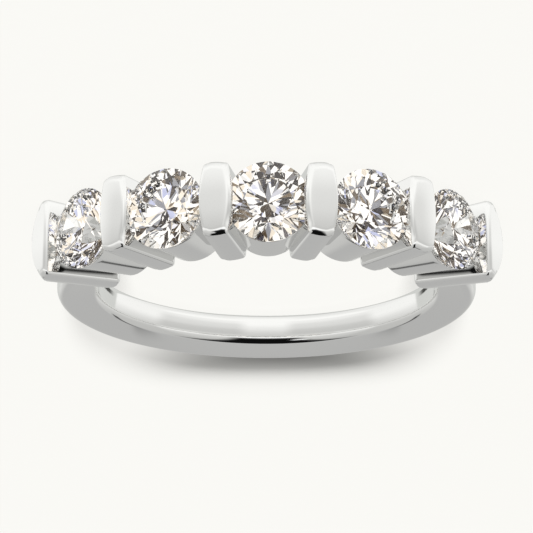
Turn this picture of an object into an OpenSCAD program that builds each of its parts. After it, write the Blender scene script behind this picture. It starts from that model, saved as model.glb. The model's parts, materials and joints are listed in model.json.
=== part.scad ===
// Ring with five round brilliants in a row. Each stone sits in a cup between two bars that run
// across the finger ring, and the bars' edges hold its girdle.
// The ring lies on its side: the finger axis is Z, the middle of the band is z = 0, and the
// middle stone points along -Y. All sizes are millimetres.

/* [Finger hole] */
// Diameter of the finger hole, 17.3 is a US size 7
finger_d = 17.3; // [16.9:0.1:17.7]

/* [Stones] */
// Diameter of each round stone across its girdle
stone_d = 4.0; // [3.95:0.05:4.05]
// Angle about the finger axis from one stone to the next
stone_pitch = 24; // [23.5:0.25:25]
// Distance from the finger axis to the middle of each girdle
girdle_r = 12.15; // [12.1:0.05:12.2]
// Thickness of the girdle
girdle_t = 0.12; // [0.08:0.02:0.16]
// Width of the table as a share of the stone's diameter
table_share = 0.56; // [0.53:0.01:0.6]
// Slope of the eight crown mains
crown_slope = 34.5; // [33:0.5:36]
// Slope of the eight pavilion mains
pavilion_slope = 40.8; // [40:0.2:41.6]
// How far the star facets reach from the table towards the girdle
star_share = 0.5; // [0.45:0.01:0.55]
// How far the lower halves reach from the girdle towards the culet
lower_half_share = 0.78; // [0.7:0.01:0.85]
// Clearance all round a stone in its seat
seat_gap = 0.04; // [0.02:0.01:0.06]

/* [Bars] */
// Distance from the finger axis to the crest of the bars
bar_top_r = 13.0; // [12.9:0.05:13.1]
// Length of the two middle bars along the finger axis
bar_len = 3.76; // [3.6:0.02:3.84]
// Length of the two bars next to them
next_bar_len = 3.86; // [3.7:0.02:3.96]
// Length of the two end bars at their crest
end_bar_len = 4.06; // [3.9:0.02:4.1]
// How far a middle bar reaches towards the middle stone, at half its length
bar_in = 0.96; // [0.9:0.01:1]
// And away from the middle stone
bar_out = 0.64; // [0.6:0.01:0.68]
// The same for the bars next to them, towards the middle stone
next_bar_in = 0.96; // [0.9:0.01:1]
// And away from the middle stone
next_bar_out = 0.6; // [0.57:0.01:0.64]
// The same for the end bars, towards the middle stone
end_bar_in = 0.66; // [0.62:0.01:0.7]
// And away from the middle stone
end_bar_out = 0.94; // [0.86:0.01:1]
// How far the crest of each end bar reaches away from the middle of the ring
end_bar_crest_out = 0.76; // [0.7:0.01:0.8]
// Radius of the ball that the outermost edge of each end bar is rounded to
end_bar_ball_r = 3.4; // [3.3:0.05:3.6]
// How far the middle of that ball lies under the crest
end_bar_ball_depth = 2.5; // [2.4:0.05:2.6]
// Radius of the outermost upright corners of each end bar
end_bar_corner = 0.4; // [0.3:0.02:0.5]
// How much each long side of a middle bar draws in towards its ends
bar_side_full = 0.24; // [0.18:0.01:0.26]
// How much each long side of the bars next to them draws in towards its ends
next_bar_side_full = 0.2; // [0.14:0.01:0.22]
// How much each long side of an end bar draws in towards its ends
end_bar_side_full = 0.09; // [0.06:0.01:0.12]
// Width of a bar at the finger as a share of its width at the crest
bar_foot_share = 0.94; // [0.9:0.01:1]
// How far the ends of a bar bulge beyond its corners
bar_end_bulge = 0.07; // [0.04:0.01:0.1]
// Radius of the bar's upright corners
bar_corner = 0.17; // [0.14:0.01:0.24]
// Radius of the long edges of the crest
bar_edge_round = 0.09; // [0.06:0.01:0.14]
// Radius of the long edges at the finger
bar_foot_round = 0.3; // [0.2:0.02:0.36]
// Radius of the rounding where the top turns down into the ends
bar_crest_round = 0.3; // [0.2:0.02:0.4]
// Radius of the rounding on the bar's finger side
bar_nose_round = 0.14; // [0.08:0.02:0.2]
// Length of every bar at the finger side
bar_foot_len = 3.56; // [3.5:0.02:3.6]

/* [Cups] */
// Outer radius of a cup at the finger side
cup_r_low = 1.62; // [1.55:0.01:1.68]
// Outer radius of a cup at its rim
cup_r_rim = 1.92; // [1.9:0.01:1.94]
// How far the rim lies under the middle of the girdle
cup_rim_drop = 0.3; // [0.26:0.02:0.36]
// Radius of the well that lets light in under the stone
well_r = 1.05; // [0.9:0.05:1.1]

/* [Shank] */
// Thickness of the shank away from the finger
shank_t = 2.05; // [1.9:0.05:2.2]
// Width of the shank at its outer face
shank_w = 2.36; // [2.2:0.02:2.5]
// Width of the shank at the finger
shank_in_w = 1.66; // [1.6:0.02:1.8]
// Radius of the soft inner edges
shank_in_round = 0.42; // [0.36:0.02:0.46]
// Radius of the outer edges
shank_out_round = 0.5; // [0.4:0.02:0.6]

/* [Hidden] */

finger_r = finger_d / 2;
stone_r = stone_d / 2;
stone_count = 5;
bar_count = stone_count + 1;
fold = 8;
fold_step = 360 / fold;
half_step = fold_step / 2;

// Heights on a stone's own axis, from the middle of its girdle
girdle_h = girdle_t / 2;
table_r = stone_r * table_share;
table_h = girdle_h + (stone_r - table_r) * tan(crown_slope);
culet_h = -girdle_h - stone_r * tan(pavilion_slope);
table_mid_r = table_r * cos(half_step);
star_r = table_mid_r + (stone_r - table_mid_r) * star_share;
star_h = girdle_h + (stone_r - star_r * cos(half_step)) * tan(crown_slope);
lower_r = stone_r * (1 - lower_half_share);
lower_h = -girdle_h - (stone_r - lower_r * cos(half_step)) * tan(pavilion_slope);

arc_steps = 6;
round_fn = 96;

// How far a cutting shape reaches past what it cuts
overrun = 1;
// Radius that the crown's cutting shape keeps at its tip
seat_tip_r = 0.1;

// The crest is domed along its length: its middle part is level, over this share of the length,
// then it falls by crest_drop and meets the rounded end at this slope
crest_level_share = 1 / 3;
crest_drop = 0.06;
crest_end_slope = 15;

shank_outer_r = finger_r + shank_t;
// Angle that the shank reaches past the middle plane of each end bar, inside it
shank_tuck = 1;
shank_angle = 360 - stone_pitch * (bar_count - 1) + 2 * shank_tuck;

// One row for a middle bar, the next one out and an end bar: length, reach of the side towards
// the middle stone, reach of the other side, its upright corners, how much the sides draw in
bar_rows = [
    [bar_len, bar_in, bar_out, bar_corner, bar_side_full],
    [next_bar_len, next_bar_in, next_bar_out, bar_corner, next_bar_side_full],
    [end_bar_len, end_bar_in, end_bar_out, end_bar_corner, end_bar_side_full]];
end_row = len(bar_rows) - 1;
end_bar_ball_in = sqrt(pow(end_bar_ball_r, 2) - pow(end_bar_ball_depth, 2)) - end_bar_crest_out;

// Points on an arc about [x, y], from angle a to angle b
function arc(x, y, r, a, b) =
    [for (i = [0:arc_steps]) let (t = a + (b - a) * i / arc_steps) [x + r * cos(t), y + r * sin(t)]];

function mirrored(points) = [for (i = [len(points) - 1:-1:0]) [points[i][0], -points[i][1]]];

// A ring of points on a stone, half a step later when late is 1
function stone_ring(r, h, late) =
    [for (i = [0:fold - 1]) let (t = fold_step * i + half_step * late) [r * cos(t), r * sin(t), h]];

function angle_of_stone(i) = (i - (stone_count + 1) / 2) * stone_pitch;
function angle_of_bar(i) = (i - (bar_count + 1) / 2) * stone_pitch;

// Turns a shape drawn about +Z so that it points away from the finger at the given angle
module outward(angle) {
    rotate([0, 0, angle]) rotate([90, 0, 0]) children();
}

// Round brilliant about +Z, with the middle of its girdle at the origin
module brilliant() {
    points = concat(
        stone_ring(table_r, table_h, 0), stone_ring(star_r, star_h, 1),
        stone_ring(stone_r, girdle_h, 0), stone_ring(stone_r, girdle_h, 1),
        stone_ring(stone_r, -girdle_h, 0), stone_ring(stone_r, -girdle_h, 1),
        stone_ring(lower_r, lower_h, 1), [[0, 0, culet_h]]);
    table = 0;
    star = fold;
    top_a = 2 * fold;
    top_b = 3 * fold;
    low_a = 4 * fold;
    low_b = 5 * fold;
    lower = 6 * fold;
    culet = 7 * fold;
    turns = [for (i = [0:fold - 1]) [i, (i + 1) % fold, (i + fold - 1) % fold]];
    faces = concat(
        [[for (i = [fold - 1:-1:0]) table + i]],
        [for (t = turns) [table + t[0], table + t[1], star + t[0]]],
        [for (t = turns) [table + t[0], star + t[0], top_a + t[0], star + t[2]]],
        [for (t = turns) [star + t[0], top_b + t[0], top_a + t[0]]],
        [for (t = turns) [star + t[0], top_a + t[1], top_b + t[0]]],
        [for (t = turns) [top_a + t[0], top_b + t[0], low_b + t[0], low_a + t[0]]],
        [for (t = turns) [top_b + t[0], top_a + t[1], low_a + t[1], low_b + t[0]]],
        [for (t = turns) [lower + t[0], low_a + t[0], low_b + t[0]]],
        [for (t = turns) [lower + t[0], low_b + t[0], low_a + t[1]]],
        [for (t = turns) [culet, lower + t[2], low_a + t[0], lower + t[0]]]);
    polyhedron(points, faces);
}

module stone(i) {
    color("aliceblue") outward(angle_of_stone(i)) translate([0, 0, girdle_r]) brilliant();
}

// Section of the shank: flat at the finger, soft corners, and sides that lean outwards
module shank_section() {
    in_mid = [finger_r + shank_in_round, shank_in_w / 2 - shank_in_round];
    out_mid = [shank_outer_r - shank_out_round, shank_w / 2 - shank_out_round];
    run = out_mid - in_mid;
    side_normal = atan2(run[1], run[0]) + acos((shank_in_round - shank_out_round) / norm(run));
    inner = arc(in_mid[0], in_mid[1], shank_in_round, 180, side_normal);
    outer = arc(out_mid[0], out_mid[1], shank_out_round, side_normal, 0);
    upper = concat(inner, outer);
    polygon(concat(upper, mirrored(upper)));
}

// The shank runs round the palm side from inside one end bar to inside the other
module shank() {
    rotate([0, 0, 90 - shank_angle / 2])
        rotate_extrude(angle = shank_angle, $fn = round_fn) shank_section();
}

// What a bar of the given length may fill: a slightly domed crest, rounded down to ends that
// lean in towards the finger, and a small rounding at the finger
module bar_envelope(length) {
    foot = bar_foot_len / 2;
    half = length / 2;
    crest_end = bar_top_r - crest_drop;
    nose = arc(finger_r + bar_nose_round, foot - bar_nose_round, bar_nose_round, 180, 90);
    crest = arc(crest_end - bar_crest_round, half - bar_crest_round, bar_crest_round, 90, crest_end_slope);
    upper = concat(nose, crest, [[bar_top_r, half * crest_level_share]]);
    rotate_extrude($fn = round_fn) polygon(concat(upper, mirrored(upper)));
}

// A quarter of a bar's outline seen from outside: one side, drawn in towards the end, its
// upright corner and the end, which bulges a little
function bar_quarter(length, reach, corner, full) =
    let (half = length / 2, shoulder = half - bar_end_bulge - corner)
    let (side = [for (i = [0:arc_steps - 1]) let (y = shoulder * i / arc_steps)
        [reach - full * pow(y / half, 2), y]])
    let (corner_x = reach - full * pow(shoulder / half, 2) - corner)
    concat(side, arc(corner_x, shoulder, corner, 0, 90), [[0, half]]);

// A bar's outline seen from outside, +X is the side away from the middle stone
module bar_outline(row) {
    outer = bar_quarter(row[0], row[2], row[3], row[4]);
    inner = bar_quarter(row[0], row[1], bar_corner, row[4]);
    upper = concat(outer, [for (i = [len(inner) - 2:-1:0]) [-inner[i][0], inner[i][1]]]);
    lower = [for (i = [len(upper) - 2:-1:1]) [upper[i][0], -upper[i][1]]];
    polygon(concat(upper, lower));
}

// Section of a bar across its length: round edges at the finger, a slight taper, broken edges at
// the crest. Y is the distance from the finger axis, +X the side away from the middle stone
module bar_section(row) {
    foot_y = finger_r - crest_drop + bar_foot_round;
    crest_y = bar_top_r - bar_edge_round;
    foot_out = row[2] * bar_foot_share - bar_foot_round;
    foot_in = row[1] * bar_foot_share - bar_foot_round;
    polygon(concat(
        arc(foot_out, foot_y, bar_foot_round, 270, 360),
        arc(row[2] - bar_edge_round, crest_y, bar_edge_round, 0, 90),
        arc(bar_edge_round - row[1], crest_y, bar_edge_round, 90, 180),
        arc(-foot_in, foot_y, bar_foot_round, 180, 270)));
}

module bar(i) {
    angle = angle_of_bar(i);
    rank = floor(abs(angle) / stone_pitch);
    row = bar_rows[rank];
    intersection() {
        bar_envelope(row[0]);
        rotate([0, 0, angle]) mirror([angle > 0 ? 0 : 1, 0, 0]) intersection() {
            outward(0) translate([0, 0, finger_r - overrun])
                linear_extrude(bar_top_r - finger_r + 2 * overrun) bar_outline(row);
            mirror([0, 1, 0])
                linear_extrude(row[0] + 2 * overrun, center = true) bar_section(row);
            if (rank == end_row)
                translate([-end_bar_ball_in, end_bar_ball_depth - bar_top_r, 0])
                    sphere(end_bar_ball_r, $fn = round_fn);
        }
    }
}

module bars() {
    for (i = [1:bar_count]) bar(i);
}

// Slightly conical cup under a stone, reaching past the finger side before the hole is cut
module cup(i) {
    rim = girdle_r - cup_rim_drop;
    foot = finger_r - overrun;
    slope = (cup_r_rim - cup_r_low) / (rim - finger_r);
    outward(angle_of_stone(i)) rotate_extrude($fn = round_fn)
        polygon([[0, foot], [cup_r_low - slope * overrun, foot], [cup_r_rim, rim], [0, rim]]);
}

// What is cut for one stone: its own turned outline with the gap, and the well under it
module seat(i) {
    wall_r = stone_r + seat_gap;
    top = girdle_h + seat_gap;
    crown_top = bar_top_r - girdle_r + overrun;
    inner_crown_r = wall_r - (crown_top - top) / tan(crown_slope);
    well_h = -top - (wall_r - well_r) * tan(pavilion_slope);
    outward(angle_of_stone(i)) translate([0, 0, girdle_r]) rotate_extrude($fn = round_fn)
        polygon([
            [0, finger_r - girdle_r - 2 * overrun], [well_r, finger_r - girdle_r - 2 * overrun],
            [well_r, well_h], [wall_r, -top], [wall_r, top],
            [max(inner_crown_r, seat_tip_r), crown_top], [0, crown_top]]);
}

module band() {
    color("gainsboro") difference() {
        union() {
            shank();
            bars();
            difference() {
                union() for (i = [1:stone_count]) cup(i);
                cylinder(h = 2 * bar_len, r = finger_r, center = true, $fn = round_fn);
            }
        }
        for (i = [1:stone_count]) seat(i);
    }
}

band();
stone(1);  // stone_1
stone(2);  // stone_2
stone(3);  // stone_3
stone(4);  // stone_4
stone(5);  // stone_5
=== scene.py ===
# %% [markdown]
# Five-stone diamond band. The ring is a row of five round brilliants between polished bars, on a
# plain white gold shank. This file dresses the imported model: it makes the metal again as smooth
# meshes with real soft edges, cuts the stones facet by facet, and lights them like a catalogue
# picture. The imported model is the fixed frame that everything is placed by.

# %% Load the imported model
import bpy
import bmesh
import json
import math
from mathutils import Matrix, Vector


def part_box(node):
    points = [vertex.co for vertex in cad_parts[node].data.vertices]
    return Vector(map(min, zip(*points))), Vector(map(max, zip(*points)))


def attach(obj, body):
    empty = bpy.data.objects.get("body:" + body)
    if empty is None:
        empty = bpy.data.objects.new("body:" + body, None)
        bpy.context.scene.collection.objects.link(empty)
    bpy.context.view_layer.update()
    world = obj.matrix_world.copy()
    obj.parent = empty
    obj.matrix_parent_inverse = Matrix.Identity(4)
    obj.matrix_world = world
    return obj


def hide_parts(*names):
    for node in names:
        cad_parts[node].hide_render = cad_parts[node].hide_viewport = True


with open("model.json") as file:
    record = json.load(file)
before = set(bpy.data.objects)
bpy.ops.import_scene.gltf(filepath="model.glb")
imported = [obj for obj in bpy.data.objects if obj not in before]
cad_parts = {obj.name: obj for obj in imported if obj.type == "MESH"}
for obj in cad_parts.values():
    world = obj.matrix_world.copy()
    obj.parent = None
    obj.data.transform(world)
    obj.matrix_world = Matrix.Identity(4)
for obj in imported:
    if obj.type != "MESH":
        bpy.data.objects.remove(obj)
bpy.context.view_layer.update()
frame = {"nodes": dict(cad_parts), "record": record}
MM = 0.001

# %% [markdown]
# Sizes come from the frame where it has them, and otherwise they are named once, in millimetres,
# where they are first needed. The finger axis is Z, and the middle stone points along -Y. An angle
# of 0 points at the middle stone, and a place on the head is given by that angle and a distance
# from the finger axis.

# %% Sizes of the ring
FINGER_R = frame["record"]["mounts"][0]["dims"]["r_mm"]
STONES = sorted(name for name in frame["nodes"] if name.startswith("stone_"))
STONE_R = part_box("stone_3")[1][2] / MM
PITCH = math.radians(24)
STONE_ANGLES = [(i - 2) * PITCH for i in range(5)]
BAR_ANGLES = [(i - 2.5) * PITCH for i in range(6)]
END_BAR_ANGLE = BAR_ANGLES[-1]
GIRDLE_R = 12.15
CREST_R = 13.0
SHANK_OUT_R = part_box("band")[1][1] / MM
print("finger radius", FINGER_R, "stone radius", round(STONE_R, 3), "stones", len(STONES))


def direction(angle):
    return Vector((math.sin(angle), -math.cos(angle), 0.0))


def local_frame(angle, distance):
    """Matrix whose X runs round the ring, Y along the finger axis and Z away from the finger."""
    out = direction(angle)
    along = Vector((math.cos(angle), math.sin(angle), 0.0))
    turn = Matrix((along, Vector((0.0, 0.0, 1.0)), out)).transposed().to_4x4()
    turn.translation = out * distance
    return turn


# %% [markdown]
# Most pieces of the metal are skins over a grid: rings of points, one after the other. One helper
# joins the rings into a closed mesh and another turns the mesh into an object. Faces are smooth,
# and only edges sharper than a limit stay crisp, which is what a polishing wheel leaves.

# %% Helpers for meshes made of rings
WELD_MM = 0.0005
CRISP_DEGREES = 35


def arc(cx, cy, r, start, end, steps):
    """Points on an arc, with its angles in degrees."""
    turns = [math.radians(start + (end - start) * i / steps) for i in range(steps + 1)]
    return [(cx + r * math.cos(t), cy + r * math.sin(t)) for t in turns]


def at(radius, angle, height):
    """A point by its radius and angle round the axis of a stone, and its height along it."""
    return Vector((radius * math.cos(angle), radius * math.sin(angle), height))


def skin_of_rings(rings, closed=False):
    """Faces over rings of equal length. Open ends are closed with one flat face each."""
    points = [Vector(p) for ring in rings for p in ring]
    n = len(rings[0])
    faces = []
    for j in range(len(rings) - 1 + closed):
        low, high = j * n, (j + 1) % len(rings) * n
        for k in range(n):
            m = (k + 1) % n
            faces.append((low + k, low + m, high + m, high + k))
    if not closed:
        faces.append(tuple(range(n - 1, -1, -1)))
        faces.append(tuple(range((len(rings) - 1) * n, len(rings) * n)))
    return points, faces


def shade(mesh, crisp):
    mesh.polygons.foreach_set("use_smooth", [True] * len(mesh.polygons))
    mesh.set_sharp_from_angle(angle=math.radians(crisp))


def put_in_scene(name, data):
    made = bpy.data.objects.new(name, data)
    bpy.context.scene.collection.objects.link(made)
    return made


def make_object(name, points, faces, place=Matrix()):
    """Object from points in millimetres, with doubled points welded and faces turned outwards."""
    mesh = bpy.data.meshes.new(name)
    mesh.from_pydata([(place @ p) * MM for p in points], [], faces)
    skin = bmesh.new()
    skin.from_mesh(mesh)
    bmesh.ops.remove_doubles(skin, verts=skin.verts, dist=WELD_MM * MM)
    bmesh.ops.recalc_face_normals(skin, faces=skin.faces)
    skin.to_mesh(mesh)
    skin.free()
    shade(mesh, CRISP_DEGREES)
    return put_in_scene(name, mesh)


print("points closer than", WELD_MM, "mm are welded")

# %% [markdown]
# The shank is one bent bar of metal. Its section is nearly flat where it meets the finger and
# rounded at the inner corners for comfort, and its sides lean outwards to a wider outer face. A
# curve with a bevel profile could make it too, but its points would lie where Blender puts them.
# Here the section is drawn once, point by point, and swept round the palm side, so each rounding is
# exact. Its ends are tucked into the end bars, where a goldsmith would solder them.

# %% Sizes of the shank
SHANK_IN_W = 1.66
SHANK_OUT_W = 2.36
SHANK_IN_ROUND = 0.42
SHANK_OUT_ROUND = 0.5
SHANK_IN_CROWN = 0.016
SHANK_IN_TILT = 4.5
SHANK_OUT_TILT = 4
SHANK_TUCK = math.radians(1)
SHANK_STEPS = 160
SHANK_ROUND_STEPS = 12
print("shank", SHANK_IN_W, "to", SHANK_OUT_W, "wide,", round(SHANK_OUT_R - FINGER_R, 2), "thick")


# %% Shank
def shank_section():
    """Closed outline of the shank, as (distance from the finger axis, height)."""
    in_x, in_y = FINGER_R + SHANK_IN_ROUND, SHANK_IN_W / 2 - SHANK_IN_ROUND
    out_x, out_y = SHANK_OUT_R - SHANK_OUT_ROUND, SHANK_OUT_W / 2 - SHANK_OUT_ROUND
    run = math.hypot(out_x - in_x, out_y - in_y)
    lean = math.degrees(math.atan2(out_y - in_y, out_x - in_x))
    side = lean + math.degrees(math.acos((SHANK_IN_ROUND - SHANK_OUT_ROUND) / run))
    inner = arc(in_x, in_y, SHANK_IN_ROUND, 180 - SHANK_IN_TILT, side, SHANK_ROUND_STEPS)
    outer = arc(out_x, out_y, SHANK_OUT_ROUND, side, SHANK_OUT_TILT, SHANK_ROUND_STEPS)
    crown = [(FINGER_R + SHANK_IN_CROWN * f * f, in_y * f)
             for f in (0.15, 0.3, 0.45, 0.6, 0.75, 0.9)]
    inner = [(x + SHANK_IN_CROWN, y) for x, y in inner]
    upper = crown + inner + outer + [(SHANK_OUT_R, out_y * f) for f in (0.6, 0.25)]
    return upper + [(x, -y) for x, y in reversed(upper)]


def make_shank():
    section = shank_section()
    start = END_BAR_ANGLE - SHANK_TUCK
    rings = []
    for i in range(SHANK_STEPS + 1):
        out = direction(start + (2 * math.pi - 2 * start) * i / SHANK_STEPS)
        rings.append([out * x + Vector((0, 0, y)) for x, y in section])
    return make_object("shank", *skin_of_rings(rings))


shank = make_shank()
print("shank", len(shank.data.polygons), "faces")

# %% [markdown]
# Six bars stand across the band. Seen from outside a bar is a little fuller at half its length,
# and its ends bulge softly. The crest is pillowed and rolls over into the ends, the long edges are
# only broken by the polish, and near the finger the corners grow rounder. A block with a Bevel
# modifier would have straight sides and the same rounding everywhere, so each bar is built from
# level outlines, one above the other, like slices. The bars go in pairs from the middle outwards,
# and in a row of sizes, inner is the reach towards the middle stone and outer the reach away from
# it, corner rounds the outer corners, and full is how far the sides are drawn in at the ends.

# %% Sizes of the bars
BAR_ROWS = [
    {"length": 3.76, "inner": 0.96, "outer": 0.64, "corner": 0.17, "full": 0.24,
     "crown": 0.03, "ball": False},
    {"length": 3.86, "inner": 0.96, "outer": 0.60, "corner": 0.17, "full": 0.20,
     "crown": 0.03, "ball": False},
    {"length": 4.06, "inner": 0.66, "outer": 0.94, "corner": 0.40, "full": 0.09,
     "crown": 0.0, "ball": True},
]
BAR_HEIGHT = CREST_R - FINGER_R
BAR_FOOT_LENGTH = 3.56
BAR_FOOT_NARROW = 0.94
BAR_END_BULGE = 0.07
BAR_CORNER = 0.17
BAR_CREST_ROUND = 0.3
BAR_OUTER_EDGE_ROUND = 0.10
BAR_INNER_EDGE_ROUND = 0.24
BAR_NOSE_ROUND = 0.14
BAR_FOOT_ROUND = 0.3
BAR_FOOT_FULL = 0.5
BAR_DOME = 0.05
BAR_SIDE_STEPS = 8
BAR_CORNER_STEPS = 10
BAR_ROUND_STEPS = 12
BAR_WALL_STEPS = 16
BAR_CREST_STEPS = 12
print("bars", [row["length"] for row in BAR_ROWS], "long and", round(BAR_HEIGHT, 2), "high")

# %% [markdown]
# A level outline is drawn a quarter at a time. The side starts full at half the length and comes in
# towards the end, a corner of its own radius turns it, and the end itself bulges by a hair.

# %% Outline of a bar
def bar_quarter(length, reach, corner, full):
    """A quarter of a level outline: the side, drawn in towards the end, the corner and the end."""
    half = length / 2
    shoulder = half - BAR_END_BULGE - corner
    points = []
    for i in range(BAR_SIDE_STEPS):
        y = shoulder * i / BAR_SIDE_STEPS
        points.append((reach - full * (y / half) ** 2, y))
    corner_x = reach - full * (shoulder / half) ** 2 - corner
    points += arc(corner_x, shoulder, corner, 0, 90, BAR_CORNER_STEPS)
    for f in (0.66, 0.33):
        points.append((corner_x * f, half - BAR_END_BULGE * f * f))
    return points


def bar_outline(length, outer, inner, corner, full):
    """The whole outline. +X is the outer side, away from the middle stone."""
    outer_quarter = bar_quarter(length, outer, corner, full)
    inner_quarter = bar_quarter(length, inner, BAR_CORNER, full)
    upper = outer_quarter + [(0.0, length / 2)] + [(-x, y) for x, y in reversed(inner_quarter)]
    return upper + [(x, -y) for x, y in reversed(upper[1:-1])]


def round_off(depth, r):
    """How far a rounded edge of radius r lies back, at a depth under the face it runs into."""
    return r - math.sqrt(r * r - (r - depth) ** 2) if depth < r else 0.0


sample_row = BAR_ROWS[0]
print("points in a level outline", len(bar_outline(
    *(sample_row[size] for size in ("length", "outer", "inner", "corner", "full")))))

# %% [markdown]
# The outermost edge of each end bar is filed to a bow, full at half its length and fading into the
# ends. A ball does that: whatever reaches past it is drawn back to it, with a soft step between.

# %% The bow of the end bars
BALL_R = 3.4
BALL_DEPTH = 2.5
BALL_CREST_OUT = 0.76
BALL_SOFT = 0.05
BALL_IN = math.sqrt(BALL_R ** 2 - BALL_DEPTH ** 2) - BALL_CREST_OUT
print("bow of the end bars: a ball of radius", BALL_R, "with its middle", BALL_DEPTH, "deep")


def drawn_to_ball(x, y, z):
    """The point itself inside the ball, and one on the ball for a point that reaches past it."""
    limit = math.sqrt(BALL_R ** 2 - (z - BAR_HEIGHT + BALL_DEPTH) ** 2)
    reach = math.hypot(x + BALL_IN, y)
    blend = min(1.0, max(0.0, 0.5 + 0.5 * (limit - reach) / BALL_SOFT))
    kept = limit + (reach - limit) * blend - BALL_SOFT * blend * (1 - blend)
    return ((x + BALL_IN) * kept / reach - BALL_IN, y * kept / reach, z)


# %% [markdown]
# Each level of a bar is that outline made a little shorter and narrower by the roundings of the
# crest and the foot. The levels lie close together where the metal rolls over and far apart on the
# walls. The crest is closed by the last outline, shrunk step by step towards the middle.

# %% Levels of a bar
def crest_fall(row, x, y):
    """The crest falls a little towards the ends and, less, towards the long edges."""
    across = (2 * x - row["outer"] + row["inner"]) / (row["outer"] + row["inner"])
    return BAR_DOME * (2 * y / row["length"]) ** 2 + row["crown"] * across ** 2


def bar_level(row, h):
    """Ring of points at height h, the crest's fall included."""
    up = h / BAR_HEIGHT
    depth = BAR_HEIGHT - h
    length = BAR_FOOT_LENGTH + (row["length"] - BAR_FOOT_LENGTH) * up
    length -= 2 * (round_off(depth, BAR_CREST_ROUND) + round_off(h, BAR_NOSE_ROUND))
    widening = BAR_FOOT_NARROW + (1 - BAR_FOOT_NARROW) * up
    foot = round_off(h, BAR_FOOT_ROUND)
    outer = row["outer"] * widening - foot - round_off(depth, BAR_OUTER_EDGE_ROUND)
    inner = row["inner"] * widening - foot - round_off(depth, BAR_INNER_EDGE_ROUND)
    full = row["full"] * (BAR_FOOT_FULL + (1 - BAR_FOOT_FULL) * up)
    outline = bar_outline(length, outer, inner, row["corner"], full)
    ring = [(x, y, h) for x, y in outline]
    if row["ball"]:
        ring = [drawn_to_ball(*point) for point in ring]
    return [(x, y, z - crest_fall(row, x, y) * up ** 2) for x, y, z in ring]


def bar_rings(row):
    """All levels of a bar from the foot up, and then the shrinking outlines on its crest."""
    turns = [math.radians(90 * i / BAR_ROUND_STEPS) for i in range(BAR_ROUND_STEPS + 1)]
    foot = [BAR_FOOT_ROUND * (1 - math.cos(t)) for t in turns]
    wall = BAR_HEIGHT - BAR_FOOT_ROUND - BAR_CREST_ROUND
    walls = [BAR_FOOT_ROUND + wall * i / BAR_WALL_STEPS for i in range(1, BAR_WALL_STEPS)]
    crest = [BAR_HEIGHT - BAR_CREST_ROUND * (1 - math.sin(t)) for t in turns]
    rings = [bar_level(row, h) for h in foot + walls + crest]
    rim = rings[-1]
    for i in range(1, BAR_CREST_STEPS):
        keep = 1 - i / BAR_CREST_STEPS
        rings.append([(x * keep, y * keep, BAR_HEIGHT - crest_fall(row, x * keep, y * keep))
                      for x, y, z in rim])
    return rings


def bar_place(angle):
    """Places a bar by its foot. Those on the left are mirrored, so +X is always the outer side."""
    side = 1 if angle > 0 else -1
    return Matrix.Diagonal((side, 1, 1, 1)) @ local_frame(abs(angle), FINGER_R)


bars = []
for i, (angle, row) in enumerate(zip(BAR_ANGLES, [*reversed(BAR_ROWS), *BAR_ROWS])):
    bars.append(make_object(f"bar_{i + 1}", *skin_of_rings(bar_rings(row)), bar_place(angle)))
print("bars", [len(bar.data.polygons) for bar in bars], "faces")

# %% [markdown]
# Under each stone sits a cup, turned on a lathe: a slightly conical wall, a narrow rim, the seat
# that carries the pavilion, and an open well that lets light in from the finger side. A Screw
# modifier would turn one profile for all angles. This foot follows the round finger hole, so the
# profile is worked out anew for each angle, and the profiles are joined as rings.

# %% Sizes of the cups
CUP_R_LOW = 1.62
CUP_R_RIM = 1.92
CUP_RIM_DROP = 0.3
CUP_FOOT_ROUND = 0.12
CUP_RIM_ROUND = 0.03
CUP_WALL_STEPS = 9
WELL_R = 1.05
WELL_ROUND = 0.05
SEAT_GAP = 0.04
PAVILION = math.radians(40.8)
CROWN = math.radians(34.5)
GIRDLE_HALF = 0.06
TURNED_STEPS = 144
TURNS = [2 * math.pi * i / TURNED_STEPS for i in range(TURNED_STEPS)]
print("cups", 2 * CUP_R_LOW, "to", 2 * CUP_R_RIM, "across, wells", 2 * WELL_R)


# %% Cups
def cup_profile(t):
    """Closed lathe profile at the angle t, as (radius, height over the girdle of the stone)."""
    def finger_level(r):
        """Height of the round finger hole at the radius r."""
        return math.sqrt(FINGER_R ** 2 - (r * math.cos(t)) ** 2) - GIRDLE_R

    rim = -CUP_RIM_DROP
    seat_r = STONE_R + SEAT_GAP - (CUP_RIM_DROP - GIRDLE_HALF - SEAT_GAP) / math.tan(PAVILION)
    well_top = rim - (seat_r - WELL_R) * math.tan(PAVILION)
    foot = finger_level(CUP_R_LOW)
    points = arc(seat_r + CUP_RIM_ROUND, rim - CUP_RIM_ROUND, CUP_RIM_ROUND, 130, 90, 3)
    points += arc(CUP_R_RIM - CUP_RIM_ROUND, rim - CUP_RIM_ROUND, CUP_RIM_ROUND, 90, 0, 4)
    for i in range(1, CUP_WALL_STEPS):
        f = i / CUP_WALL_STEPS
        points.append((CUP_R_RIM + (CUP_R_LOW - CUP_R_RIM) * f,
                       rim + (foot + CUP_FOOT_ROUND - rim) * f))
    for x, y in arc(0, 0, CUP_FOOT_ROUND, 0, -90, 6):
        r = CUP_R_LOW - CUP_FOOT_ROUND + x
        points.append((r, finger_level(r) + CUP_FOOT_ROUND + y))
    for f in (0.25, 0.5, 0.75):
        r = CUP_R_LOW - CUP_FOOT_ROUND + (WELL_R + WELL_ROUND - CUP_R_LOW + CUP_FOOT_ROUND) * f
        points.append((r, finger_level(r)))
    for x, y in arc(0, 0, WELL_ROUND, 270, 180, 4):
        r = WELL_R + WELL_ROUND + x
        points.append((r, finger_level(r) + WELL_ROUND + y))
    points.append((WELL_R, well_top))
    return points


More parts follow.
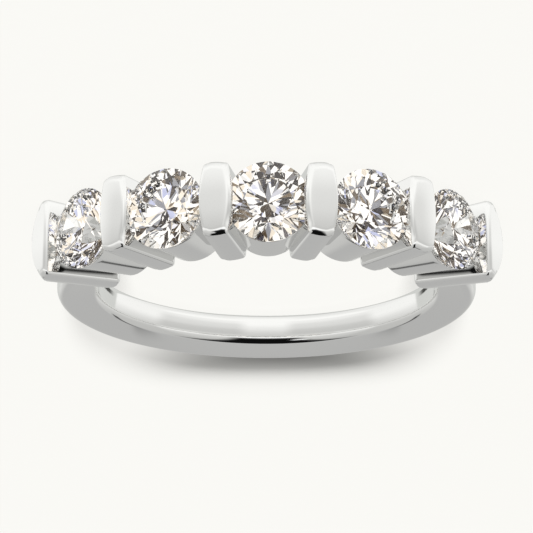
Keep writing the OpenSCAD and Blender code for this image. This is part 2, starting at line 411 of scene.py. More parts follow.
cup_rings = [[at(r, t, z) for r, z in cup_profile(t)] for t in TURNS]
stone_places = [local_frame(angle, GIRDLE_R) for angle in STONE_ANGLES]
cups = [make_object(f"cup_{i + 1}", *skin_of_rings(cup_rings, closed=True), place)
        for i, place in enumerate(stone_places)]
print("cups", [len(cup.data.polygons) for cup in cups], "faces")

# %% [markdown]
# A setter cuts a groove into the bars for each girdle. The cutter here has the turned outline of
# the stone with a hair of clearance, and a Boolean modifier takes it out of the bar on either side
# of the stone. It reaches well over the crest, so nothing thin is left standing there.

# %% Seats cut into the bars
SEAT_OVER_CREST = 1
SEAT_TIP_R = 0.05
SEAT_TOP_MIN_R = 0.1
CUT_CRISP_DEGREES = 28


def seat_profile():
    wall_r = STONE_R + SEAT_GAP
    top = GIRDLE_HALF + SEAT_GAP
    crown_top = CREST_R - GIRDLE_R + SEAT_OVER_CREST
    low = -top - (wall_r - SEAT_TIP_R) * math.tan(PAVILION)
    crown_r = max(SEAT_TOP_MIN_R, wall_r - (crown_top - top) / math.tan(CROWN))
    return [(SEAT_TIP_R, low), (wall_r, -top), (wall_r, top), (crown_r, crown_top)]


def cut(piece, cutter):
    tool = piece.modifiers.new("seat", "BOOLEAN")
    tool.operation = "DIFFERENCE"
    tool.solver = "EXACT"
    tool.object = cutter
    as_cut = piece.evaluated_get(bpy.context.evaluated_depsgraph_get())
    done = bpy.data.meshes.new_from_object(as_cut)
    piece.modifiers.clear()
    piece.data = done


seat_rings = [[at(r, t, z) for t in TURNS] for r, z in seat_profile()]
cutters = [make_object(f"cutter_{i + 1}", *skin_of_rings(seat_rings), place)
           for i, place in enumerate(stone_places)]
bpy.context.view_layer.update()
for i, cutter in enumerate(cutters):
    for bar in (bars[i], bars[i + 1]):
        cut(bar, cutter)
for cutter in cutters:
    bpy.data.objects.remove(cutter)
for bar in bars:
    shade(bar.data, CUT_CRISP_DEGREES)
print("bars after cutting", [len(bar.data.polygons) for bar in bars], "faces")

# %% [markdown]
# On the real ring shank, bars and cups are soldered into one piece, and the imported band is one
# solid. Here the bars and cups are joined into one object, the head, and together with the shank
# it stands for the band.

# %% Join the head
def join(name, pieces):
    mesh = bpy.data.meshes.new(name)
    whole = bmesh.new()
    for piece in pieces:
        whole.from_mesh(piece.data)
    whole.to_mesh(mesh)
    whole.free()
    for piece in pieces:
        bpy.data.objects.remove(piece)
    return put_in_scene(name, mesh)


head = join("head", [*bars, *cups])
for metal in (shank, head):
    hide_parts("band")
    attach(metal, "root")
print("shank", len(shank.data.polygons), "head", len(head.data.polygons), "faces")

# %% [markdown]
# A cutter makes a round brilliant by grinding flats into a turned blank. The same is done here:
# the blank is a fine cylinder, and each facet is one plane that slices it. The planes pass through
# a few points that the proportions give, so the girdle gets its wavy edge by itself. The table's
# width, the length of the star facets and that of the lower halves are shares, as on a grading
# report.

# %% Facets of a brilliant
TABLE_SHARE = 0.56
TABLE_R = STONE_R * TABLE_SHARE
STAR = 0.5
LOWER = 0.78
HALF_STEP = math.radians(22.5)


def facet_planes():
    """One plane for each facet of the brilliant, as (point, normal out of the stone)."""
    table_h = GIRDLE_HALF + (STONE_R - TABLE_R) * math.tan(CROWN)
    table_mid = TABLE_R * math.cos(HALF_STEP)
    star_r = table_mid + (STONE_R - table_mid) * STAR
    star_h = GIRDLE_HALF + (STONE_R - star_r * math.cos(HALF_STEP)) * math.tan(CROWN)
    lower_r = STONE_R * (1 - LOWER)
    lower_h = -GIRDLE_HALF - (STONE_R - lower_r * math.cos(HALF_STEP)) * math.tan(PAVILION)
    planes = [(Vector((0, 0, table_h)), Vector((0, 0, 1)))]

    def through(a, b, c):
        normal = (b - a).cross(c - a).normalized()
        planes.append((a, normal if normal.dot(a) > 0 else -normal))

    for i in range(8):
        main = 2 * HALF_STEP * i
        for slope, level, sign in ((CROWN, GIRDLE_HALF, 1), (PAVILION, -GIRDLE_HALF, -1)):
            normal = at(math.sin(slope), main, sign * math.cos(slope))
            planes.append((at(STONE_R, main, level), normal))
        through(at(TABLE_R, main, table_h), at(TABLE_R, main + 2 * HALF_STEP, table_h),
                at(star_r, main + HALF_STEP, star_h))
        for side in (-1, 1):
            between = main + side * HALF_STEP
            through(at(star_r, between, star_h), at(STONE_R, between, GIRDLE_HALF),
                    at(STONE_R, main, GIRDLE_HALF))
            through(at(lower_r, between, lower_h), at(STONE_R, between, -GIRDLE_HALF),
                    at(STONE_R, main, -GIRDLE_HALF))
    return planes


print("facet planes", len(facet_planes()))

# %% [markdown]
# Each plane leaves an open face in the blank, and the edges round it are closed with a new facet
# before the next plane comes. Facets stay flat and their edges crisp, because a stone isn't smooth
# shaded.

# %% Cut the stones
GIRDLE_SIDES = 96
BLANK_HEIGHT = 4.0
CUT_ACCURACY_MM = 1e-6
FACET_WELD_MM = 1e-5


def brilliant(name, place):
    blank = bmesh.new()
    bmesh.ops.create_cone(blank, cap_ends=True, segments=GIRDLE_SIDES, radius1=STONE_R,
                          radius2=STONE_R, depth=BLANK_HEIGHT)
    for point, normal in facet_planes():
        everything = blank.verts[:] + blank.edges[:] + blank.faces[:]
        cut_here = bmesh.ops.bisect_plane(blank, geom=everything, dist=CUT_ACCURACY_MM,
                                          plane_co=point, plane_no=normal, clear_outer=True)
        edges = [e for e in cut_here["geom_cut"] if isinstance(e, bmesh.types.BMEdge)]
        bmesh.ops.contextual_create(blank, geom=edges)
    bmesh.ops.remove_doubles(blank, verts=blank.verts, dist=FACET_WELD_MM)
    bmesh.ops.recalc_face_normals(blank, faces=blank.faces)
    bmesh.ops.transform(blank, matrix=Matrix.Scale(MM, 4) @ place, verts=blank.verts)
    mesh = bpy.data.meshes.new(name)
    blank.to_mesh(mesh)
    blank.free()
    return put_in_scene(name, mesh)


cut_stones = []
for i, (node, place) in enumerate(zip(STONES, stone_places)):
    gem = brilliant(f"diamond_{i + 1}", place)
    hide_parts(node)
    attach(gem, "root")
    cut_stones.append(gem)
print("each stone", len(cut_stones[0].data.polygons), "facets")

# %% [markdown]
# Materials are node trees. One helper adds a node with its settings, and feeds its inputs from
# plain values or from other nodes. Another turns a colour as a painter writes it into the linear
# values that light uses.

# %% Helpers for materials
def linear(hex_colour):
    """Linear colour with an alpha of 1, from sRGB written as hex."""
    channels = [int(hex_colour[i:i + 2], 16) / 255 for i in (1, 3, 5)]
    bent = [c / 12.92 if c <= 0.04045 else ((c + 0.055) / 1.055) ** 2.4 for c in channels]
    return (*bent, 1.0)


def add(tree, kind, inputs=None, stops=None, **settings):
    """Adds a node. Inputs go by name or number, stops are the (place, colour) pairs of a ramp."""
    made = tree.nodes.new(kind)
    for name, value in settings.items():
        setattr(made, name, value)
    for key, value in (inputs or {}).items():
        if isinstance(value, bpy.types.NodeSocket):
            tree.links.new(value, made.inputs[key])
        else:
            made.inputs[key].default_value = value
    while stops and len(made.color_ramp.elements) < len(stops):
        made.color_ramp.elements.new(0.5)
    for i, (place, colour) in enumerate(stops or []):
        made.color_ramp.elements[i].position = place
        made.color_ramp.elements[i].color = linear(colour)
    return made


def new_material(name):
    made = bpy.data.materials.new(name)
    made.use_nodes = True
    made.node_tree.nodes.clear()
    return made, made.node_tree


print("middle grey as light:", round(linear("#808080")[0], 3))

# %% [markdown]
# White gold is plated with rhodium and polished on a wheel. It reads as a bright neutral mirror
# with very slight softness: the wheel leaves hairlines a few hundredths of a millimetre apart, and
# the plating is a touch uneven. Hairlines that fine don't show, so they are drawn at 0.15 mm. Edges
# that the eye sees as sharp are worn by a hair too, which the Bevel node draws as thin glints.

# %% Polished rhodium-plated white gold
METAL_COLOUR = "#F1F1F0"
METAL_ROUGHNESS = (0.04, 0.08)
HAIRLINE_MM = 0.15
HAIRLINE_DEPTH_MM = 0.01
HAIRLINE_SHARE = 0.02
CLOUD_MM = 2.5
EDGE_WEAR_MM = 0.035


def white_gold():
    made, tree = new_material("rhodium_plated_white_gold_polished")
    place = add(tree, "ShaderNodeTexCoord").outputs["Object"]
    hairlines = add(tree, "ShaderNodeTexNoise",
                    {"Vector": place, "Scale": 1 / (HAIRLINE_MM * MM), "Detail": 3.0})
    cloud = add(tree, "ShaderNodeTexNoise",
                {"Vector": place, "Scale": 1 / (CLOUD_MM * MM), "Detail": 2.0})
    rough = add(tree, "ShaderNodeMapRange", {
        "Value": cloud.outputs["Fac"], "From Min": 0.3, "From Max": 0.7,
        "To Min": METAL_ROUGHNESS[0], "To Max": METAL_ROUGHNESS[1]})
    worn = add(tree, "ShaderNodeBevel", {"Radius": EDGE_WEAR_MM * MM}, samples=6)
    bump = add(tree, "ShaderNodeBump", {
        "Height": hairlines.outputs["Fac"], "Normal": worn.outputs["Normal"],
        "Strength": HAIRLINE_SHARE, "Distance": HAIRLINE_DEPTH_MM * MM})
    shader = add(tree, "ShaderNodeBsdfPrincipled", {
        "Base Color": linear(METAL_COLOUR), "Metallic": 1.0,
        "Roughness": rough.outputs["Result"], "Normal": bump.outputs["Normal"]})
    add(tree, "ShaderNodeOutputMaterial", {"Surface": shader.outputs["BSDF"]})
    return made


polished_gold = white_gold()
for metal in (shank, head):
    metal.data.materials.append(polished_gold)
print(polished_gold.name, len(polished_gold.node_tree.nodes), "nodes")

# %% [markdown]
# Diamond bends light more than any other clear stone, with an index of 2.417, and its facets are
# polished to a perfect gloss. Light that enters is thrown back by the pavilion, which is what
# makes the pattern of bright and dark patches. The best wheels still leave a trace of the polish,
# a bump far too shallow to blur anything. The mirror image on the surface is held back by a grey
# tint, because the sphere made for the metal is brighter than what a stone would mirror.

# %% Polished diamond
DIAMOND_IOR = 2.417
FACET_POLISH_MM = 0.4
FACET_POLISH_DEPTH_MM = 0.001
FACET_POLISH_SHARE = 0.01
SURFACE_MIRROR = "#9C9C9C"


def diamond():
    made, tree = new_material("colourless_diamond_polished")
    place = add(tree, "ShaderNodeTexCoord").outputs["Object"]
    polish = add(tree, "ShaderNodeTexNoise", {"Vector": place, "Scale": 1 / (FACET_POLISH_MM * MM)})
    bump = add(tree, "ShaderNodeBump", {
        "Height": polish.outputs["Fac"], "Strength": FACET_POLISH_SHARE,
        "Distance": FACET_POLISH_DEPTH_MM * MM})
    shader = add(tree, "ShaderNodeBsdfPrincipled", {
        "Base Color": linear("#FFFFFF"), "Roughness": 0.0, "IOR": DIAMOND_IOR,
        "Specular Tint": linear(SURFACE_MIRROR), "Transmission Weight": 1.0,
        "Normal": bump.outputs["Normal"]})
    add(tree, "ShaderNodeOutputMaterial", {"Surface": shader.outputs["BSDF"]})
    return made


clear_diamond = diamond()
for gem in cut_stones:
    gem.data.materials.append(clear_diamond)
print(clear_diamond.name, len(clear_diamond.node_tree.nodes), "nodes")

# %% [markdown]
# The ring lies on its side on a plain pale table. By itself it leans a little, because the end
# bars reach further down than the shank does. The ring stays as packed, and the table is turned by
# that small angle instead, so it touches the two end bars and the palm side of the shank.

# %% Plane of the table
END_BAR_TOUCHES_UNDER_CREST = 0.4


def table_plane():
    """Height of the floor on the ring's axis, and its slope along Y, from the points it touches."""
    end_bar = direction(END_BAR_ANGLE) * (CREST_R - END_BAR_TOUCHES_UNDER_CREST)
    bar_low = BAR_ROWS[2]["length"] / 2
    shank_low = SHANK_OUT_W / 2
    palm_y = SHANK_OUT_R - SHANK_OUT_ROUND
    slope = (bar_low - shank_low) / (palm_y - end_bar.y)
    return -shank_low - slope * palm_y, slope


floor_z, floor_slope = table_plane()
print("floor leans by", round(math.degrees(math.atan(floor_slope)), 2), "degrees")

# %% [markdown]
# In the photo the table is one even white, and only behind the palm side lies a soft dark patch
# that sags at its ends. Plain white card would show the shadow of the whole ring at full strength.
# So this card is mostly its own light, and takes shadows faintly. Inside the patch it hardly glows
# and its paint is lighter, so it needs the lamps, and there a shadow shows fully. The shadow of the
# shank from the low lamp is real, but the outline of the patch, its sag and its fading ends are a
# painted shadow shape, because the shadow shows only where the patch lets it. Where no shadow
# falls, glow and lamp light add up to the same white everywhere. The grain of real card is too fine
# to show here, so it is drawn at about a millimetre.

# %% Sizes and tones of the card
CARD_GRAIN_MM = 1.1
CARD_GRAIN_DEPTH_MM = 0.1
CARD_GRAIN_SHARE = 0.03
# Paint and glow differ in and out of the shadow patch only so that a shadow shows there: a painted
# shadow shape.
CARD_PAINT_OUT_OF_SHADOW_PATCH = "#323231"
CARD_PAINT_IN_SHADOW_PATCH = "#6E6E6C"
CARD_GLOW = "#FAF9F5"
CARD_GLOW_OUT_OF_SHADOW_PATCH = 0.80
CARD_GLOW_IN_SHADOW_PATCH = 0.03
TABLE_HALF_MM = 900
# Place and shape of the painted shadow patch behind the palm side.
SHADOW_PATCH_MIDDLE_MM = (-1.0, 16.4)
SHADOW_PATCH_HALF_WIDTH_MM = 12.5
SHADOW_PATCH_BEHIND_MM = 6.3
SHADOW_PATCH_BEFORE_MM = 9.5
SHADOW_PATCH_SAG_PER_MM = 0.058
print("soft patch", 2 * SHADOW_PATCH_HALF_WIDTH_MM, "wide,", SHADOW_PATCH_BEFORE_MM + SHADOW_PATCH_BEHIND_MM, "deep")


# %% Card of the table top
def shadow_patch(tree, place):
    """1 in the middle of the painted shadow patch and 0 outside it, by the place on the table top.
    """
    axes = add(tree, "ShaderNodeSeparateXYZ", {"Vector": place})
    aside = add(tree, "ShaderNodeMath", {0: axes.outputs["X"], 1: SHADOW_PATCH_MIDDLE_MM[0] * MM},
                operation="SUBTRACT")
    squared = add(tree, "ShaderNodeMath", {0: aside.outputs[0], 1: aside.outputs[0]},
                  operation="MULTIPLY")
    behind = add(tree, "ShaderNodeMath", {
        0: squared.outputs[0], 1: -SHADOW_PATCH_SAG_PER_MM / MM, 2: axes.outputs["Y"]},
        operation="MULTIPLY_ADD")
    past = add(tree, "ShaderNodeMath", {0: behind.outputs[0], 1: SHADOW_PATCH_MIDDLE_MM[1] * MM},
               operation="SUBTRACT")
    beyond, before, across = (
        add(tree, "ShaderNodeMath", {0: distance.outputs[0], 1: size * MM}, operation="DIVIDE")
        for distance, size in ((past, SHADOW_PATCH_BEHIND_MM), (past, -SHADOW_PATCH_BEFORE_MM),
                               (aside, SHADOW_PATCH_HALF_WIDTH_MM)))
    along = add(tree, "ShaderNodeMath", {0: beyond.outputs[0], 1: before.outputs[0]},
                operation="MAXIMUM")
    in_halves = add(tree, "ShaderNodeCombineXYZ", {"X": across.outputs[0], "Y": along.outputs[0]})
    away = add(tree, "ShaderNodeVectorMath", {0: in_halves.outputs[0]}, operation="LENGTH")
    return add(tree, "ShaderNodeMapRange", {
        "Value": away.outputs["Value"], "From Min": 1.0, "From Max": 0.0},
        interpolation_type="SMOOTHSTEP").outputs["Result"]


def glowing_card_with_shadow_patch():
    made, tree = new_material("matt_card_glowing_with_shadow_patch")
    place = add(tree, "ShaderNodeTexCoord").outputs["Object"]
    patch = shadow_patch(tree, place)
    # Lighter paint and weaker glow inside the patch let the low lamp's shadow show only there: a
    # painted shadow shape.
    paint = add(tree, "ShaderNodeMix", {
        0: patch, 6: linear(CARD_PAINT_OUT_OF_SHADOW_PATCH), 7: linear(CARD_PAINT_IN_SHADOW_PATCH)}, data_type="RGBA")
    glow = add(tree, "ShaderNodeMapRange", {
        "Value": patch, "To Min": CARD_GLOW_OUT_OF_SHADOW_PATCH, "To Max": CARD_GLOW_IN_SHADOW_PATCH})
    grain = add(tree, "ShaderNodeTexNoise", {"Vector": place, "Scale": 1 / (CARD_GRAIN_MM * MM)})
    bump = add(tree, "ShaderNodeBump", {
        "Height": grain.outputs["Fac"], "Strength": CARD_GRAIN_SHARE,
        "Distance": CARD_GRAIN_DEPTH_MM * MM})
    card = add(tree, "ShaderNodeBsdfPrincipled", {
        "Base Color": paint.outputs[2], "Roughness": 0.9, "Specular IOR Level": 0.0,
        "Emission Color": linear(CARD_GLOW), "Emission Strength": glow.outputs["Result"],
        "Normal": bump.outputs["Normal"]})
    add(tree, "ShaderNodeOutputMaterial", {"Surface": card.outputs["BSDF"]})
    return made


def make_floor():
    half = TABLE_HALF_MM * MM
    mesh = bpy.data.meshes.new("table_top")
    corners = [(x, y, floor_z * MM + floor_slope * y)
               for x, y in ((-half, -half), (half, -half), (half, half), (-half, half))]
    mesh.from_pydata(corners, [], [(0, 1, 2, 3)])
    made = put_in_scene("table_top", mesh)
    mesh.materials.append(glowing_card_with_shadow_patch())
    made.visible_glossy = False
    made.visible_transmission = False
    return made


table_top = make_floor()
print("table top", table_top.data.materials[0].name)

# %% [markdown]
# The camera looks at the ring from above its stones, 17.8 degrees from the plane of the band, and
# is turned upside down so that the picture stands as in the photo. It is aimed a little off the
# finger axis, which puts the ring where the photo has it. Its distance and lens were fitted to the
# circles of the ring in the photo, whose width of 533 pixels the lens is worked out for.

# %% Camera
CAMERA_DISTANCE = 150.0
CAMERA_RISE = math.radians(17.8)
FOCAL_PIXELS = 2922.2
PICTURE_PIXELS = 533.0
CENTRE_DROP_PIXELS = 13.3
RING_ROLL = math.radians(0.436)
SENSOR_WIDTH = 36.0
NEAREST_SEEN_M = 0.01
FARTHEST_SEEN_M = 10.0
TOWARDS_CAMERA = Vector((0.0, -math.cos(CAMERA_RISE), math.sin(CAMERA_RISE)))


def make_camera():
    lens = bpy.data.cameras.new("camera")
    made = put_in_scene("camera", lens)
    lens.sensor_width = SENSOR_WIDTH
    lens.lens = SENSOR_WIDTH * FOCAL_PIXELS / PICTURE_PIXELS
    back = TOWARDS_CAMERA
    up = Vector((0.0, -math.sin(CAMERA_RISE), -math.cos(CAMERA_RISE)))
    right = up.cross(back)
    turn = Matrix((right, up, back)).transposed()
    eye = back * CAMERA_DISTANCE
    tip = Matrix.Rotation(math.atan(CENTRE_DROP_PIXELS / FOCAL_PIXELS), 3, right)
    ring_roll = Matrix.Rotation(RING_ROLL, 3, "Z")
    made.matrix_world = (ring_roll @ tip @ turn).to_4x4()
    made.location = ring_roll @ eye * MM
    lens.clip_start = NEAREST_SEEN_M
    lens.clip_end = FARTHEST_SEEN_M
    bpy.context.scene.camera = made
    return made


camera = make_camera()
print("camera lens", round(camera.data.lens, 1), "mm, at a distance of", CAMERA_DISTANCE, "mm")

# %% [markdown]
# A jewel is all reflections, so the studio is drawn as a sphere of light round it. In the middle,
# as seen from the stones, it is a pale table below, a white wall in front, a dark ceiling that
# draws the black lines along the rounded edges, and a grey wall behind. To the left and right the
# dark ceiling gives way to pale walls. Each colour is written as it should look in the metal, and
# the sphere is brighter by what the metal swallows. The table itself is left out of the
# reflections, because the sphere stands for it. Turns are in degrees, and levels are heights on a
# sphere of radius 1.

# %% Tones of the studio sphere
MIDDLE_TURNS = [
    (-180, "#B8B8B6"), (-160, "#C2C3C0"), (-118, "#C2C3C0"), (-98, "#E4E4E2"), (-50, "#FAFAF8"),
    (-22, "#FAFAF8"), (-18, "#EEEEEC"), (-15, "#E2E2E0"), (-12, "#D6D6D4"), (-7, "#C4C4C2"),
    (-2, "#FFFFFF"), (13, "#FFFFFF"), (23, "#4A4A4A"), (38, "#0C0C0C"), (108, "#101010"),
    (117, "#C4C4C3"), (124, "#B4B4B3"), (140, "#B0B0AF"), (162, "#B0B0AF"), (180, "#B2B2B0")]
FRONT_LEVELS = [
    (-1.0, "#E8E8E6"), (-0.45, "#FCFCFA"), (-0.39, "#ECECEA"), (-0.352, "#DEDEDC"),
    (-0.297, "#DADAD8"), (-0.25, "#CACAC8"), (-0.18, "#C2C2C0"), (-0.03, "#F8F8F6"),
    (0.2, "#E8E8E6"), (0.4, "#CECECC"), (1.0, "#BEBEBC")]
REAR_LEVELS = [
    (-1.0, "#E4E4E2"), (-0.5, "#F2F2F0"), (-0.31, "#F4F4F2"), (-0.16, "#C8C8C6"),
    (-0.03, "#DCDCDA"), (0.2, "#C8C8C6"), (0.4, "#BEBEBC"), (1.0, "#BABAB8")]
print("tones", len(MIDDLE_TURNS), "in the middle,", len(FRONT_LEVELS), "in front,",
      len(REAR_LEVELS), "behind")

# %% [markdown]
# What the stones throw back is drawn apart, because they gather light from the whole room: bright
# lamps and windows, dark gaps between them, a few warm and cool tints, and the dim part of the room
# round the place the picture is taken from. One noise draws the gaps and another the tints.

# %% Light for the stones
GAP_STOPS = [(0.0, "#221A12"), (0.408, "#463A2C"), (0.43, "#746450"), (0.44, "#A09684"),
             (0.45, "#F0ECE6"), (1.0, "#FFFCF7")]
TINT_STOPS = [(0.0, "#7C86C8"), (0.34, "#BCC3E2"), (0.38, "#FFFFFF"), (0.60, "#FFFFFF"),
              (0.65, "#EEE7DC"), (1.0, "#AE9E82")]
GAP_SCALE = 1.05
TINT_SCALE = 1.5
DIM_PART = "#86868A"
DIM_PART_DEGREES = (17, 13)
STONE_LIGHT = 1.45
print("light for the stones", len(GAP_STOPS), "tones and", len(TINT_STOPS), "tints")


def stone_light(tree, direction_of_light):
    gaps = add(tree, "ShaderNodeTexNoise",
               {"Vector": direction_of_light, "Scale": GAP_SCALE, "Detail": 1.0})
    tints = add(tree, "ShaderNodeTexNoise",
                {"Vector": direction_of_light, "Scale": TINT_SCALE, "Detail": 0.0})
    light = add(tree, "ShaderNodeValToRGB", {"Fac": gaps.outputs["Fac"]}, GAP_STOPS)
    tint = add(tree, "ShaderNodeValToRGB", {"Fac": tints.outputs["Fac"]}, TINT_STOPS)
    room = add(tree, "ShaderNodeMix", {0: 1.0, 6: light.outputs["Color"], 7: tint.outputs["Color"]},
               data_type="RGBA", blend_type="MULTIPLY")
    towards = add(tree, "ShaderNodeVectorMath", {0: direction_of_light, 1: TOWARDS_CAMERA},
                  operation="DOT_PRODUCT")
    rim, middle = (math.cos(math.radians(degrees)) for degrees in DIM_PART_DEGREES)
    dim = add(tree, "ShaderNodeMapRange", {
        "Value": towards.outputs["Value"], "From Min": rim, "From Max": middle},
        interpolation_type="SMOOTHSTEP")
    dimmed = add(tree, "ShaderNodeMix", {
        0: dim.outputs["Result"], 6: room.outputs[2], 7: linear(DIM_PART)}, data_type="RGBA")
    return dimmed.outputs[2]


# %% [markdown]
# The sphere for the metal is put together from the direction of the light. How high it comes from,
# and how far from the rear, picks the tones of the walls on either side. A low part of the walls
# far behind is toned down. Each pair of numbers says where a soft step between two tones starts
# and where it ends.

# %% Side walls
REAR_WALL = (-0.29, -0.08)
LOW_REAR = "#CDCECB"
LOW_REAR_BEHIND = (0.57, 0.61)
LOW_REAR_UNDER = (0.05, -0.1)


def side_walls(tree, rear, up):
    height_share = add(tree, "ShaderNodeMapRange", {"Value": up, "From Min": -1.0, "From Max": 1.0})
    front_wall, rear_wall = (
        add(tree, "ShaderNodeValToRGB", {"Fac": height_share.outputs["Result"]},
            [(0.5 + level / 2, colour) for level, colour in levels])
        for levels in (FRONT_LEVELS, REAR_LEVELS))
    behind = add(tree, "ShaderNodeMapRange", {
        "Value": rear, "From Min": REAR_WALL[0], "From Max": REAR_WALL[1]},
        interpolation_type="SMOOTHSTEP")
    walls = add(tree, "ShaderNodeMix", {
        0: behind.outputs["Result"], 6: front_wall.outputs["Color"], 7: rear_wall.outputs["Color"]},
        data_type="RGBA")
    far_behind = add(tree, "ShaderNodeMapRange", {
        "Value": rear, "From Min": LOW_REAR_BEHIND[0], "From Max": LOW_REAR_BEHIND[1]},
        interpolation_type="SMOOTHSTEP")
    under = add(tree, "ShaderNodeMapRange", {
        "Value": up, "From Min": LOW_REAR_UNDER[0], "From Max": LOW_REAR_UNDER[1]},
        interpolation_type="SMOOTHSTEP")
    low = add(tree, "ShaderNodeMath", {0: far_behind.outputs["Result"], 1: under.outputs["Result"]},
              operation="MULTIPLY")
    toned = add(tree, "ShaderNodeMix", {
        0: low.outputs[0], 6: walls.outputs[2], 7: linear(LOW_REAR)}, data_type="RGBA")
    return toned.outputs[2]


# %% [markdown]
# The turn of the light round the left-right axis picks the tone of the middle strip. How far it
# comes from the left or right then decides between strip and walls, and the strip is a little
# narrower under the ring.

# %% Middle strip and the whole room
STRIP_TO_WALLS = (0.26, 0.46)
STRIP_UNDER = (0.0, -0.12)
STRIP_NARROWER = 0.1


def room_for_metal(tree, apart, rear, up):
    front = add(tree, "ShaderNodeMath", {0: rear, 1: -1.0}, operation="MULTIPLY")
    turn = add(tree, "ShaderNodeMath", {0: up, 1: front.outputs[0]}, operation="ARCTAN2")
    turned_share = add(tree, "ShaderNodeMapRange", {
        "Value": turn.outputs[0], "From Min": -math.pi, "From Max": math.pi})
    middle = add(tree, "ShaderNodeValToRGB", {"Fac": turned_share.outputs["Result"]},
                 [(0.5 + degrees / 360, colour) for degrees, colour in MIDDLE_TURNS])
    under = add(tree, "ShaderNodeMapRange", {
        "Value": up, "From Min": STRIP_UNDER[0], "From Max": STRIP_UNDER[1]},
        interpolation_type="SMOOTHSTEP")
    spread = add(tree, "ShaderNodeMath", {
        0: under.outputs["Result"], 1: STRIP_NARROWER, 2: apart}, operation="MULTIPLY_ADD")
    aside = add(tree, "ShaderNodeMapRange", {
        "Value": spread.outputs[0], "From Min": STRIP_TO_WALLS[0],
        "From Max": STRIP_TO_WALLS[1]}, interpolation_type="SMOOTHSTEP")
    room = add(tree, "ShaderNodeMix", {
        0: aside.outputs["Result"], 6: middle.outputs["Color"], 7: side_walls(tree, rear, up)},
        data_type="RGBA")
    return room.outputs[2]


# %% [markdown]
# Jewels are lit with small dark flags and small lamps, so that their edges draw themselves. A dark
# strip low behind, on the left and right alike, outlines the end bars in grey.

# %% Strip that outlines the end bars
GREY_EDGE = "#4A4A48"
GREY_EDGE_BEHIND = (0.62, 0.74)
GREY_EDGE_ASIDE = (0.16, 0.36)
GREY_EDGE_LEVEL = -0.342
GREY_EDGE_HALF = 0.018


def outline_strip(tree, room, apart, rear, up):
    behind = add(tree, "ShaderNodeMapRange", {
        "Value": rear, "From Min": GREY_EDGE_BEHIND[0], "From Max": GREY_EDGE_BEHIND[1]},
        interpolation_type="SMOOTHSTEP")
    level = add(tree, "ShaderNodeMath", {0: up, 1: GREY_EDGE_LEVEL, 2: GREY_EDGE_HALF},
                operation="COMPARE")
    aside = add(tree, "ShaderNodeMapRange", {
        "Value": apart, "From Min": GREY_EDGE_ASIDE[0], "From Max": GREY_EDGE_ASIDE[1]},
        interpolation_type="SMOOTHSTEP")
    low = add(tree, "ShaderNodeMath", {0: behind.outputs["Result"], 1: level.outputs[0]},
              operation="MULTIPLY")
    strip = add(tree, "ShaderNodeMath", {0: low.outputs[0], 1: aside.outputs["Result"]},
                operation="MULTIPLY")
    shown = add(tree, "ShaderNodeMix", {0: strip.outputs[0], 6: room, 7: linear(GREY_EDGE)},
                data_type="RGBA")
    return shown.outputs[2]


# %% [markdown]
# A thin flag draws the dark line along the inner edge of the shank, again the same on the left and
# right. It lies where two directions meet: one says how far a ray passes beside it, the other how
# near it comes to its middle. A small lamp makes the one bright spot on that edge.

# %% Thin flag and small lamp
FLAG = "#4C4C4C"
FLAG_ACROSS = (0.147, -0.678, 0.720)
FLAG_MIDDLE = (0.69, 0.57, 0.43)
FLAG_EDGE = (0.07, 0.02)
FLAG_ENDS = (0.80, 0.90)
FLAG_SIDE_END = (0.60, 0.50)
SMALL_LAMP = (0.31, -0.55, 0.77)
SMALL_LAMP_DEGREES = (6, 4)


def thin_flag(tree, room, apart, rear, up):
    mirrored = add(tree, "ShaderNodeCombineXYZ", {"X": apart, "Y": rear, "Z": up})
    across, along = (
        add(tree, "ShaderNodeVectorMath", {
            0: mirrored.outputs["Vector"], 1: Vector(way).normalized()},
            operation="DOT_PRODUCT").outputs["Value"]
        for way in (FLAG_ACROSS, FLAG_MIDDLE))
    off_line = add(tree, "ShaderNodeMath", {0: across}, operation="ABSOLUTE")
    on_line = add(tree, "ShaderNodeMapRange", {
        "Value": off_line.outputs[0], "From Min": FLAG_EDGE[0], "From Max": FLAG_EDGE[1]},
        interpolation_type="SMOOTHSTEP")
    within = add(tree, "ShaderNodeMapRange", {
        "Value": along, "From Min": FLAG_ENDS[0], "From Max": FLAG_ENDS[1]},
        interpolation_type="SMOOTHSTEP")
    inside = add(tree, "ShaderNodeMapRange", {
        "Value": apart, "From Min": FLAG_SIDE_END[0], "From Max": FLAG_SIDE_END[1]},
        interpolation_type="SMOOTHSTEP")
    length = add(tree, "ShaderNodeMath", {0: within.outputs["Result"], 1: inside.outputs["Result"]},
                 operation="MULTIPLY")
    flag = add(tree, "ShaderNodeMath", {0: on_line.outputs["Result"], 1: length.outputs[0]},
               operation="MULTIPLY")
    shown = add(tree, "ShaderNodeMix", {0: flag.outputs[0], 6: room, 7: linear(FLAG)},
                data_type="RGBA")
    return shown.outputs[2]


def small_lamp(tree, room, direction_of_light):
    lamp = add(tree, "ShaderNodeVectorMath", {
        0: direction_of_light, 1: Vector(SMALL_LAMP).normalized()}, operation="DOT_PRODUCT")
    rim, middle = (math.cos(math.radians(degrees)) for degrees in SMALL_LAMP_DEGREES)
    near = add(tree, "ShaderNodeMapRange", {
        "Value": lamp.outputs["Value"], "From Min": rim, "From Max": middle},
        interpolation_type="SMOOTHSTEP")
    lit = add(tree, "ShaderNodeMix", {0: near.outputs["Result"], 6: room, 7: linear("#FFFFFF")},
              data_type="RGBA")
    return lit.outputs[2]


# %% [markdown]
# Now the two lights are put into the world. A ray that has passed through a stone meets the light
# for the stones, and every other ray meets the sphere for the metal.

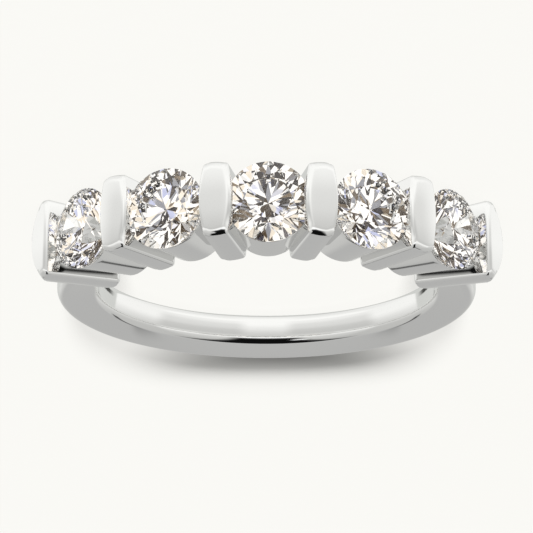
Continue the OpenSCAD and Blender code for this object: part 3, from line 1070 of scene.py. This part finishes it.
# %% Studio sphere
def metal_light(tree, direction_of_light):
    axes = add(tree, "ShaderNodeSeparateXYZ", {"Vector": direction_of_light})
    rear, up = axes.outputs["Y"], axes.outputs["Z"]
    apart = add(tree, "ShaderNodeMath", {0: axes.outputs["X"]}, operation="ABSOLUTE").outputs[0]
    room = room_for_metal(tree, apart, rear, up)
    room = outline_strip(tree, room, apart, rear, up)
    room = thin_flag(tree, room, apart, rear, up)
    return small_lamp(tree, room, direction_of_light)


def make_studio():
    world = bpy.data.worlds.new("studio")
    bpy.context.scene.world = world
    world.use_nodes = True
    tree = world.node_tree
    tree.nodes.clear()
    place = add(tree, "ShaderNodeTexCoord").outputs["Generated"]
    for_metal = add(tree, "ShaderNodeBackground", {
        "Color": metal_light(tree, place), "Strength": 1 / linear(METAL_COLOUR)[0]})
    for_stones = add(tree, "ShaderNodeBackground", {
        "Color": stone_light(tree, place), "Strength": STONE_LIGHT})
    rays = add(tree, "ShaderNodeLightPath")
    both = add(tree, "ShaderNodeMixShader", {
        0: rays.outputs["Is Transmission Ray"], 1: for_metal.outputs[0], 2: for_stones.outputs[0]})
    add(tree, "ShaderNodeOutputWorld", {"Surface": both.outputs[0]})
    return world


studio = make_studio()
print("studio sphere", len(studio.node_tree.nodes), "nodes")

# %% [markdown]
# Two lamps stand over the table, and both are kept out of the reflections. The first is a soft one
# overhead, which gives the ring its faint shadow all round.

# %% Overhead lamp
OVERHEAD_PLACE_M = Vector((0.0, -0.5, 0.6))
OVERHEAD_SIZE_M = 0.6
OVERHEAD_WATTS = 4.0


def hang_lamp(lamp):
    """Puts a lamp in the scene, out of sight of the metal and the stones."""
    made = put_in_scene(lamp.name, lamp)
    made.visible_glossy = False
    made.visible_transmission = False
    return made


def make_overhead_lamp():
    lamp = bpy.data.lights.new("overhead_softbox", "AREA")
    lamp.shape = "DISK"
    lamp.size = OVERHEAD_SIZE_M
    lamp.energy = OVERHEAD_WATTS
    made = hang_lamp(lamp)
    made.location = OVERHEAD_PLACE_M
    made.rotation_euler = (-OVERHEAD_PLACE_M).to_track_quat("-Z", "Y").to_euler()
    return made


overhead_lamp = make_overhead_lamp()
print(overhead_lamp.name, OVERHEAD_WATTS, "watts")

# %% [markdown]
# The second is low in front, as even as the sun. Light linking lets it light only the table, and
# lets only the shank stand in its way, so the soft dark patch shows behind the palm side and the
# hole stays clean.

# %% Low lamp
LOW_LAMP_RISE = 9.5
LOW_LAMP_STRENGTH = 75.0
LOW_LAMP_SOFT = 6.0


def make_low_lamp():
    lamp = bpy.data.lights.new("low_front_lamp", "SUN")
    lamp.energy = LOW_LAMP_STRENGTH
    lamp.angle = math.radians(LOW_LAMP_SOFT)
    made = hang_lamp(lamp)
    made.rotation_euler = (math.radians(90 - LOW_LAMP_RISE), 0.0, 0.0)
    lit = bpy.data.collections.new("lit_by_low_lamp")
    lit.objects.link(table_top)
    in_the_way = bpy.data.collections.new("in_the_way_of_low_lamp")
    in_the_way.objects.link(shank)
    made.light_linking.receiver_collection = lit
    made.light_linking.blocker_collection = in_the_way
    return made


low_lamp = make_low_lamp()
print(low_lamp.name, LOW_LAMP_RISE, "degrees over the table")

# %% [markdown]
# Light may bounce often, because a stone throws it to and fro many times inside. Colours are shown
# as they are, without a film look.

# %% Light bounces and colours
STONE_BOUNCES = 24
METAL_BOUNCES = 16
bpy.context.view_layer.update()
bpy.context.scene.view_settings.view_transform = "Standard"
bpy.context.scene.cycles.max_bounces = STONE_BOUNCES
bpy.context.scene.cycles.glossy_bounces = METAL_BOUNCES
bpy.context.scene.cycles.transmission_bounces = STONE_BOUNCES
